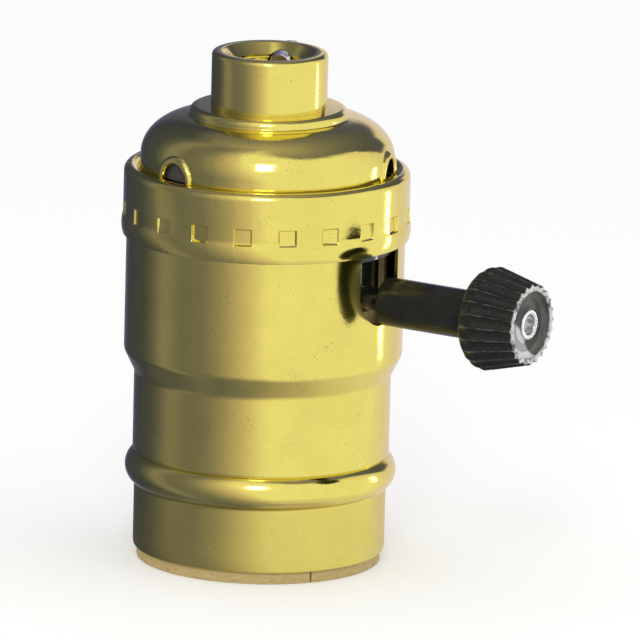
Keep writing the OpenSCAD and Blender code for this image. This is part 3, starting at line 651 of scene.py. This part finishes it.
def make_hub():
    foot = HUB_FOOT_Z
    thick = foot - SHEET - 0.05
    outside = [(PIPE_R, HUB_LOW.z), (FLANGE_R, HUB_LOW.z), (FLANGE_R, thick), (STAKE_R - 0.05, thick)]
    outside += [(STAKE_R - 0.05, foot), (HUB_R, foot + 0.01)]
    outside = softened(outside, 0.12, steps=3)
    outside += arc(HUB_R - HUB_EDGE, HUB_HIGH.z - HUB_EDGE, HUB_EDGE, 0, 90, steps=14)
    mouth = softened([outside[-1], (MOUTH_R, HUB_HIGH.z), (PIPE_R, HUB_HIGH.z - MOUTH_BEVEL)], 0.15)[1:]
    samples = 14
    top = HUB_HIGH.z - MOUTH_BEVEL - 0.05
    count = int((top - HUB_LOW.z) / PIPE_PITCH * samples)
    bore = [(PIPE_R, z) for z in np.linspace(top, HUB_LOW.z + 0.05, count)]
    mesh = lathe("hub", outside + mouth + bore, turns_of(192), pipe_thread)
    hole = [(math.cos(t) * (SET_SCREW_R + 0.05), math.sin(t) * (SET_SCREW_R + 0.05)) for t in turns_of(48)]
    place = outward(SET_SCREW_TURN, HUB_HIGH.z - SET_SCREW_DROP)
    mesh = combine(mesh, prism("screw_way", hole, place, 2, HUB_R + 2))
    piece("turned_hub", mesh, "turned_brass", "root", "cap_hub")


def make_set_screw():
    """Slotted set screw with a rolled thread, whose tip looks into the hub's bore."""
    pitch = 0.6
    tip, head_at, head_top = PIPE_R - 0.6, HUB_R + 0.3, HUB_R + 2.1
    head_r = SET_SCREW_R + 0.55
    shank = [(SET_SCREW_R - 0.02, x) for x in np.linspace(tip + 0.5, head_at - 0.1, 110)]
    section = [(0, tip), (SET_SCREW_R - 0.45, tip), (SET_SCREW_R - 0.35, tip + 0.08)] + shank
    head = [(SET_SCREW_R, head_at), (head_r, head_at), (head_r, head_top - 0.45), (head_r - 0.4, head_top)]
    section = section + softened(head, 0.1) + [(0, head_top)]

    def thread(turn, r, z):
        phase = (z / pitch - turn / (2 * math.pi)) % 1
        on = (np.abs(r - SET_SCREW_R + 0.02) < 0.001)
        return r - 0.28 * on * (1 - np.abs(2 * phase - 1)), z

    mesh = lathe("set_screw", section, turns_of(48), thread, ring=False)
    slot = [(-0.3, -head_r - 1), (0.3, -head_r - 1), (0.3, head_r + 1), (-0.3, head_r + 1)]
    mesh = combine(mesh, prism("slot", slot, Matrix.Identity(4), head_top - 0.8, head_top + 1))
    mesh.transform(outward(SET_SCREW_TURN, HUB_HIGH.z - SET_SCREW_DROP))
    piece("slotted_set_screw", mesh, "plated_steel", "root", "hub_set_screw")


# Shell, sleeve and lamp thread

def make_shell():
    low = DIMPLE_Z - DIMPLE_H / 2
    foot = [(FOOT_R, SHELL_LOW.z + 0.6)]
    bead = swell(FOOT_R, BEAD_Z, BEAD_H, BEAD_OUT, steps=24)
    above = [(WAIST_R, BEAD_Z + BEAD_H / 2 + 0.1), (WAIST_R, TAPER_Z), (SHELL_R, TAPER_Z + TAPER_H)]
    neck = [(SHELL_R, low - 1.4), (NECK_R, low - 0.6), (NECK_R, DIMPLE_Z + DIMPLE_H / 2 + 0.4)]
    top = [(SHELL_R - 0.1, DIMPLE_Z + DIMPLE_H / 2 + 1), (SHELL_R - 0.1, SHELL_HIGH.z)]
    line = foot + softened(bead + above[:1], 0.1) + above[1:] + neck + top
    outer = divided(softened(line, 0.4, steps=6), 1.5)
    inner = [(r - SHELL_SHEET, z) for r, z in reversed(outer)]
    lip = [(FOOT_R - SHELL_SHEET, SHELL_LOW.z + 0.05), (FOOT_R - 0.25, SHELL_LOW.z), (FOOT_R - 0.08, SHELL_LOW.z + 0.15)]
    mesh = lathe("shell", outer + inner + lip, turns_of(288))
    half = SLOT_W / 2
    mid = AXIS_Z - SLOT_DROP + half
    round_end = [(half * math.cos(t), half * math.sin(t)) for t in np.linspace(math.pi, 2 * math.pi, 33)]
    outline = round_end + [(half, 30), (-half, 30)]
    mesh = combine(mesh, prism("way_out", outline, outward(0, mid), 5, CAP_R + 5))
    piece("brass_shell", mesh, "satin_brass", "root", "outer_shell")


def make_sleeve():
    r_out, r_in = SLEEVE_HIGH.x, SLEEVE_HIGH.x - SLEEVE_WALL
    low, high = SLEEVE_LOW.z, SLEEVE_HIGH.z
    corners = [(r_in, low + 1), (r_in, low), (r_out, low), (r_out, high), (r_in, high), (r_in, high - 1)]
    mesh = lathe("sleeve", divided(softened(corners, 0.14, steps=3), 2.0), turns_of(256))
    floor = AXIS_Z - SPINDLE_R - 0.25
    half = NOTCH_W / 2
    left = arc(-half + NOTCH_CORNER, NOTCH_CORNER, NOTCH_CORNER, 180, 270, steps=8)
    right = arc(half - NOTCH_CORNER, NOTCH_CORNER, NOTCH_CORNER, 270, 360, steps=8)
    outline = left + right + [(half, 20), (-half, 20)]
    mesh = combine(mesh, prism("notch", outline, outward(0, floor), 5, CAP_R + 5))
    gap = SEAM_W / 2
    joint = [(-gap, -2), (gap, -2), (gap, high + 2), (-gap, high + 2)]
    mesh = combine(mesh, prism("joint", joint, outward(SEAM_TURN, 0), 5, CAP_R))
    piece("card_sleeve", mesh, "sleeve_card", "root", "insulating_sleeve")


def lamp_thread(turn, r, z):
    """Winds the rolled thread round the screw shell's wall, fading out at both ends."""
    phase = 2 * math.pi * (z / THREAD_PITCH) - turn
    wave = np.clip(0.62 * np.cos(phase), -0.5, 0.5) * THREAD_DEPTH
    low, high = SCREW_LOW.z, SCREW_HIGH.z
    ends = smooth_step(z, low + 0.9, low + 2.4) * smooth_step(-z, -high + 1.4, -high + 3.2)
    wall = r > THREAD_R - 0.1
    return r + (wave - THREAD_DEPTH / 2 * (1 - ends)) * ends * wall, z


def make_screw_shell():
    low, high = SCREW_LOW.z, SCREW_HIGH.z
    wall = THREAD_R + THREAD_DEPTH / 2
    flare = [(wall + 0.75, low), (wall + 0.4, low + 0.5)]
    inside = flare + [(wall, z) for z in np.linspace(low + 1, high - SCREW_SHEET - 0.9, 90)]
    top = softened([inside[-1], (wall, high - SCREW_SHEET), (SCREW_HOLE_R, high - SCREW_SHEET)], 0.6)[1:]
    outside = [(r + SCREW_SHEET, z) for r, z in reversed(inside)]
    crown = softened([(SCREW_HOLE_R, high), (wall + SCREW_SHEET, high), outside[0]], 0.9)[:-1]
    mesh = lathe("screw_shell", inside + top + crown + outside, turns_of(160), lamp_thread)
    for side in (-1, 1):
        hole = [(side * 9.925 + 1.25 * math.cos(t), 1.25 * math.sin(t)) for t in turns_of(32)]
        mesh = combine(mesh, prism("screw_hole", hole, Matrix.Identity(4), high - 3, high + 2))
    piece("threaded_shell", mesh, "contact_brass", "root", "screw_shell")


# Spindle, stem and knob

def make_spindle():
    """Steel spindle with its outer end hollowed and spread over the knob's boss."""
    start, end = SPINDLE_LOW.x, KNOB_HIGH.x - FLARE_BACK
    lip = softened([(SPINDLE_R, end - FLARE_T), (FLARE_R, end - FLARE_T), (FLARE_R, end), (END_HOLE_R, end - 0.05),
                    (END_HOLE_R, end - END_HOLE_DEEP)], 0.22, steps=5)
    section = [(0, start), (SPINDLE_R - 0.3, start), (SPINDLE_R, start + 0.3)] + lip
    section += [(0, end - END_HOLE_DEEP - 0.2)]
    mesh = lathe("spindle", divided(section, 3.0), turns_of(64), axis_z=AXIS_Z, ring=False)
    piece("hollow_end_spindle", mesh, "spindle_steel", "knob_rotor", "spindle")


def make_stem():
    bore = SPINDLE_R + 0.05
    corners = [(bore, STEM_LOW.x + 0.5), (bore, STEM_LOW.x), (STEM_R, STEM_LOW.x), (STEM_R, STEM_HIGH.x)]
    corners += [(bore, STEM_HIGH.x), (bore, STEM_HIGH.x - 0.5)]
    mesh = lathe("stem", divided(softened(corners, 0.3), 1.5), turns_of(128), axis_z=AXIS_Z)
    piece("black_stem", mesh, "stem_black", "knob_rotor", "stem")


def knob_flutes(turn, r, z):
    """Hollows the flutes between narrow ridges on the knob's cone and its rounded back."""
    phase = (turn * FLUTES / (2 * math.pi)) % 1
    land = 0.08
    t = np.clip(np.abs(2 * phase - 1) / (1 - land), 0, 1)
    hollow = np.sqrt(1 - t * t) * 0.5 + (1 - t * t) * 0.5
    share = smooth_step(z, KNOB_LOW.x + 0.15, KNOB_LOW.x + 1.4)
    depth = FLUTE_DEPTH * r / KNOB_BACK_R * share
    side = r > DISH_R + 0.3
    return r - depth * hollow * side, z


def make_knob():
    back, face = KNOB_LOW.x, KNOB_HIGH.x
    bore = SPINDLE_R + 0.05
    socket = back + 2.45
    boss_r = SPINDLE_R + 0.6
    side = [(STEM_R + 0.05, back)] + arc(KNOB_BACK_R - BACK_DROP, back + BACK_RUN, BACK_DROP, -90, 0, BACK_RUN, steps=14)
    cone = arc(KNOB_FACE_R - 0.2, face - 0.2, 0.2, 10, 90, steps=4)
    dish = [(DISH_R, face), (DISH_R - 0.25, face - DISH_DEPTH * 0.7), (DISH_R - 0.8, face - DISH_DEPTH)]
    seat = face - FLARE_BACK - FLARE_T
    dish += [(boss_r + 0.3, face - DISH_DEPTH), (boss_r, seat - 0.1), (boss_r, seat)]
    inner = [(bore, seat), (bore, socket), (STEM_R + 0.05, socket)]
    line = divided(side + cone, 0.5) + softened([cone[-1]] + dish + inner[:1], 0.12, steps=3)[1:] + inner[1:]
    mesh = lathe("knob", line, turns_of(FLUTES * 16), knob_flutes, axis_z=AXIS_Z, sharp=40)
    piece("fluted_knob", mesh, "knob_black", "knob_rotor", "knob")


# Camera, light and floor

def set_camera():
    toward = Vector((math.sin(CAMERA_TURN) * math.cos(CAMERA_RISE),
                     -math.cos(CAMERA_TURN) * math.cos(CAMERA_RISE), math.sin(CAMERA_RISE)))
    level = Vector((math.cos(CAMERA_TURN), math.sin(CAMERA_TURN), 0))
    upright = toward.cross(level)
    up = upright * math.cos(CAMERA_ROLL) - level * math.sin(CAMERA_ROLL)
    right = level * math.cos(CAMERA_ROLL) + upright * math.sin(CAMERA_ROLL)
    aim = Vector((0, 0, AIM_Z)) + (right * AIM_RIGHT_PX - up * AIM_DOWN_PX) / PIXELS_PER_MM
    data = bpy.data.cameras.new("camera")
    data.lens = LENS
    data.clip_end = 20
    camera = bpy.data.objects.new("camera", data)
    bpy.context.scene.collection.objects.link(camera)
    camera.matrix_world = Matrix((right, up, toward)).transposed().to_4x4()
    camera.matrix_world.translation = aim * MM + toward * CAMERA_AWAY
    bpy.context.scene.camera = camera


# What the metal sees level with it: turn from the camera's side in degrees, brightness
PANELS = [(-180, 0.40), (-168, 0.12), (-152, 0.05), (-118, 0.07), (-104, 0.14), (-94, 0.26), (-86, 0.25),
          (-72, 0.17), (-52, 0.20), (-38, 0.32), (-26, 0.50), (-12, 0.75), (2, 1.0), (112, 1.0), (138, 0.85),
          (180, 0.80)]
# How high those panels reach at each turn, in degrees
CEILING = [(-180, 15), (-165, 30), (-120, 50), (-70, 75), (-20, 85), (20, 82), (45, 74), (63, 66), (80, 56),
           (117, 48), (135, 42), (143, 10), (158, 10), (168, 20), (180, 15)]
# The ceiling from the panels' top to straight above: height as a share, brightness
OVERHEAD = [(0, 0.09), (0.50, 0.10), (0.71, 0.15), (0.82, 0.20), (0.91, 0.27), (0.97, 0.38), (1, 0.48)]
# The ground near the socket: turn, brightness
GROUND = [(-180, 0.45), (-150, 0.20), (-95, 0.14), (-70, 0.16), (-30, 0.30), (10, 0.48), (60, 0.60), (120, 0.62),
          (180, 0.50)]
# How much of it shows at each depth below level, where 0 is straight below and 1 is level
GROUND_SHARE = [(0, 1), (0.12, 1), (0.20, 0.55), (0.36, 0.35), (0.50, 0.0), (1, 0.0)]
PANEL_SLANT = 0.45


def panel_colour(level):
    """Light of a panel: the dark ones are bluish and the middle ones a little reddish."""
    dim = min(level, 1.0)
    green = 0.87 + 0.4 * math.exp(-dim / 0.2)
    green += (1 - green) * float(smooth_step(dim, 0.75, 1.0))
    blue = 1 + 2.3 * math.exp(-dim / 0.17)
    return (level, level * green, level * blue)


def lights(stops):
    """Stops at shares of a height or turn, with the light of a panel in place of its brightness."""
    return [(place, panel_colour(level)) for place, level in stops]


def round_about(stops):
    """Places in degrees of turn as shares of the whole turn."""
    return [((turn + 180) / 360, level) for turn, level in stops]


def set_world():
    world = bpy.data.worlds.new("studio")
    bpy.context.scene.world = world
    world.use_nodes = True
    tree = world.node_tree
    tree.nodes.clear()
    way = add(tree, "ShaderNodeTexCoord").outputs["Generated"]
    front = (math.sin(CAMERA_TURN), -math.cos(CAMERA_TURN), 0)
    right = (math.cos(CAMERA_TURN), math.sin(CAMERA_TURN), 0)
    ahead, aside = [add(tree, "ShaderNodeVectorMath", {0: way, 1: side}, operation="DOT_PRODUCT").outputs["Value"]
                    for side in (front, right)]
    height = add(tree, "ShaderNodeSeparateXYZ", {0: way}).outputs["Z"]
    rise = add(tree, "ShaderNodeMath", {0: height}, operation="ARCSINE").outputs[0]
    turn = add(tree, "ShaderNodeMath", {0: aside, 1: ahead}, operation="ARCTAN2").outputs[0]
    lean = add(tree, "ShaderNodeMath", {0: rise, 1: CAMERA_RISE}, operation="ADD").outputs[0]
    leant = add(tree, "ShaderNodeMath", {0: lean, 1: PANEL_SLANT, 2: turn}, operation="MULTIPLY_ADD").outputs[0]
    share = spread(tree, leant, 0, 1, -math.pi, math.pi)
    walls = ramp(tree, share, lights(round_about(PANELS)))
    tops = ramp(tree, share, round_about([(t, math.sin(math.radians(e))) for t, e in CEILING]))
    over = add(tree, "ShaderNodeMath", {0: height, 1: tops}, operation="SUBTRACT").outputs[0]
    seen = blend(tree, spread(tree, over, 0, 1, -0.05, 0.05), walls, ramp(tree, height, lights(OVERHEAD)))
    under = ramp(tree, spread(tree, height, 0, 1, -1, 0), GROUND_SHARE)
    seen = blend(tree, under, seen, ramp(tree, share, lights(round_about(GROUND))))
    path = add(tree, "ShaderNodeLightPath")
    soft = blend(tree, path.outputs["Is Diffuse Ray"], seen, (0.82, 0.82, 0.82))
    shown = blend(tree, path.outputs["Is Camera Ray"], soft, (1, 1, 1))
    light = add(tree, "ShaderNodeBackground", {"Color": shown, "Strength": 1.0})
    add(tree, "ShaderNodeOutputWorld", {"Surface": light.outputs[0]})


def add_lamp(name, turn, rise, away, width, height, brightness, aim_z=0.0):
    """Square lamp at a turn and rise from the camera's side, of a given brightness."""
    data = bpy.data.lights.new(name, "AREA")
    data.shape = "RECTANGLE"
    data.size, data.size_y = width, height
    data.energy = brightness * math.pi * width * height
    lamp = bpy.data.objects.new(name, data)
    bpy.context.scene.collection.objects.link(lamp)
    heading = CAMERA_TURN + math.radians(turn)
    toward = Vector((math.sin(heading) * math.cos(math.radians(rise)),
                     -math.cos(heading) * math.cos(math.radians(rise)), math.sin(math.radians(rise))))
    lamp.location = toward * away + Vector((0, 0, aim_z * MM))
    lamp.rotation_euler = toward.to_track_quat("Z", "Y").to_euler()
    lamp.visible_camera = False


def make_floor():
    mesh = bpy.data.meshes.new("floor")
    rim = [(1.6 * math.cos(t), 1.6 * math.sin(t), 0) for t in turns_of(96)]
    mesh.from_pydata(rim, [], [tuple(range(len(rim)))])
    floor = bpy.data.objects.new("floor", mesh)
    bpy.context.scene.collection.objects.link(floor)
    material, tree, shader = new_finish("pale_floor")
    shader.inputs["Base Color"].default_value = (0.9, 0.9, 0.9, 1)
    shader.inputs["Roughness"].default_value = 0.9
    shader.inputs["Specular IOR Level"].default_value = 0.0
    path = add(tree, "ShaderNodeLightPath")
    shader.inputs["Emission Color"].default_value = (1, 1, 1, 1)
    lift = add(tree, "ShaderNodeMath", {0: path.outputs["Is Camera Ray"], 1: 0.2}, operation="MULTIPLY")
    tree.links.new(lift.outputs[0], shader.inputs["Emission Strength"])
    mesh.materials.append(material)
    floor.visible_glossy = False


def dress_nodes():
    """Gives every CAD node the finish of its slot."""
    for part in frame["record"]["subparts"]:
        obj = frame["nodes"][part["node"]]
        obj.data.materials.clear()
        obj.data.materials.append(FINISHES[part["material_slot"]])


bpy.context.scene.view_settings.view_transform = "Standard"
set_camera()
set_world()
make_floor()
add_lamp("key", -3, 38, 0.6, 0.13, 0.20, 6.5)
add_lamp("edge", 107, 0, 0.12, 0.006, 0.042, 7.0, aim_z=25)
dress_nodes()
make_cap()
make_hub()
make_set_screw()
make_shell()
make_sleeve()
make_screw_shell()
make_spindle()
make_stem()
make_knob()
